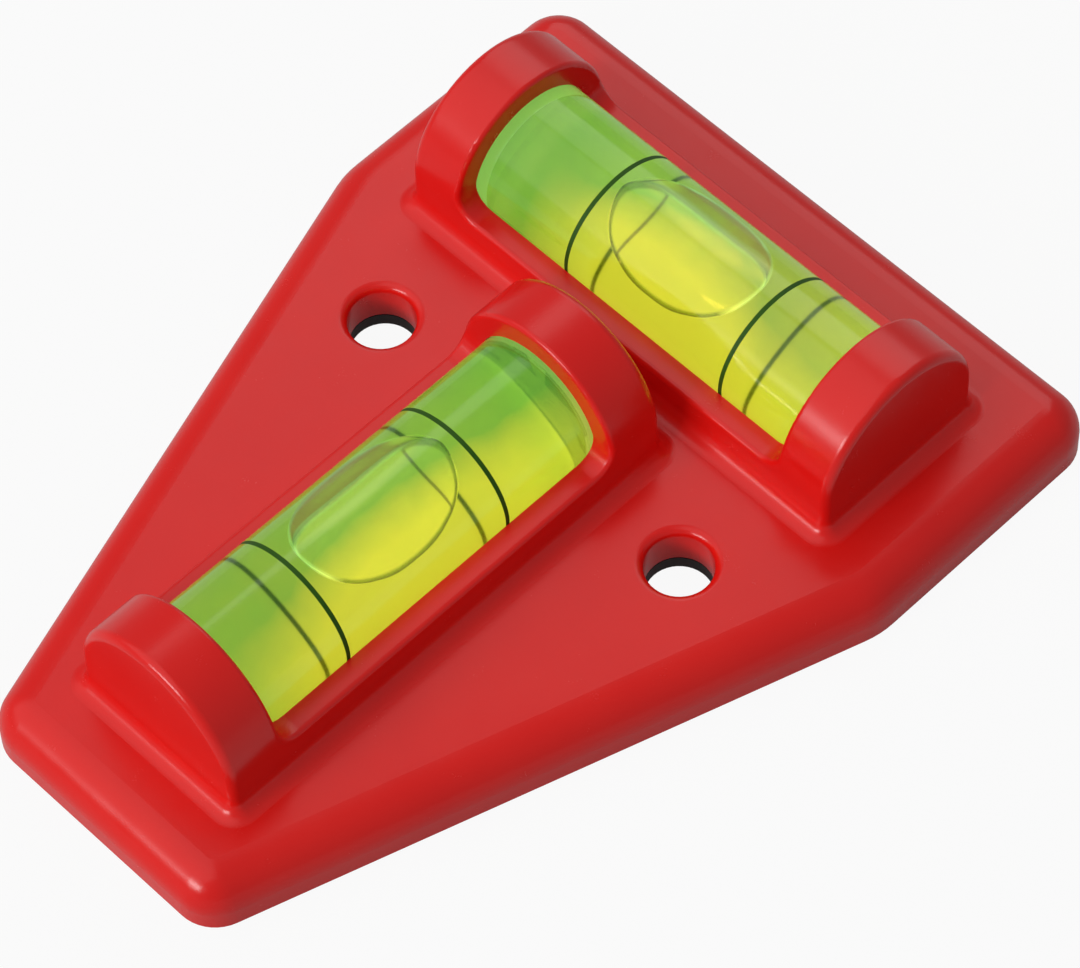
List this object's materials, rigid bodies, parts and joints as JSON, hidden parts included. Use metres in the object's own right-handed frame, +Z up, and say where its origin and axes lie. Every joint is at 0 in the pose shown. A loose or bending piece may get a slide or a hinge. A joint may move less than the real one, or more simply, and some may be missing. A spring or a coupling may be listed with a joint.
{
  "type": "magnetic spirit level",
  "caption": "Tapered plate with a magnetic back and screw holes, carrying barrel vials at right angles in windowed housings to read level lengthwise and crosswise.",
  "frame": {"origin": "underside, midway along the plate's length and width", "axes": "+X along the cross vial, +Y along the long vial towards the wide end, +Z up through the vials"},
  "size_m": [0.0498, 0.066, 0.0142],
  "materials": {
    "red_plastic": "moulded red ABS, satin gloss",
    "magnetic_rubber": "black magnetic rubber sheet, matt",
    "adhesive": "thin transfer tape",
    "clear_acrylic": "clear polished acrylic",
    "line_ink": "black printed ring in a shallow groove",
    "vial_liquid": "clear yellow-green liquid",
    "bubble": "air bubble"
  },
  "bodies": {
    "level": {"housing": "red_plastic", "magnet_sheet": "magnetic_rubber", "adhesive_film": "adhesive", "cross_vial_body": "clear_acrylic", "cross_vial_plug": "clear_acrylic", "cross_vial_first_line": "line_ink", "cross_vial_second_line": "line_ink", "cross_vial_liquid": "vial_liquid", "long_vial_body": "clear_acrylic", "long_vial_plug": "clear_acrylic", "long_vial_first_line": "line_ink", "long_vial_second_line": "line_ink", "long_vial_liquid": "vial_liquid"},
    "cross_bubble": {"cross_vial_bubble": "bubble"},
    "long_bubble": {"long_vial_bubble": "bubble"}
  },
  "joints": [
    {"name": "cross_bubble_travel", "type": "hinge", "parent": "level", "child": "cross_bubble", "pos_m": [0.00084, 0.0202, -0.18884], "axis": [0, 1, 0], "range_deg": [-2.11, 2.49], "stiffness_Nm_per_rad": 0.002},
    {"name": "long_bubble_travel", "type": "hinge", "parent": "level", "child": "long_bubble", "pos_m": [0, -0.00848, -0.18884], "axis": [-1, 0, 0], "range_deg": [-2.39, 2.21], "stiffness_Nm_per_rad": 0.002}
  ]
}
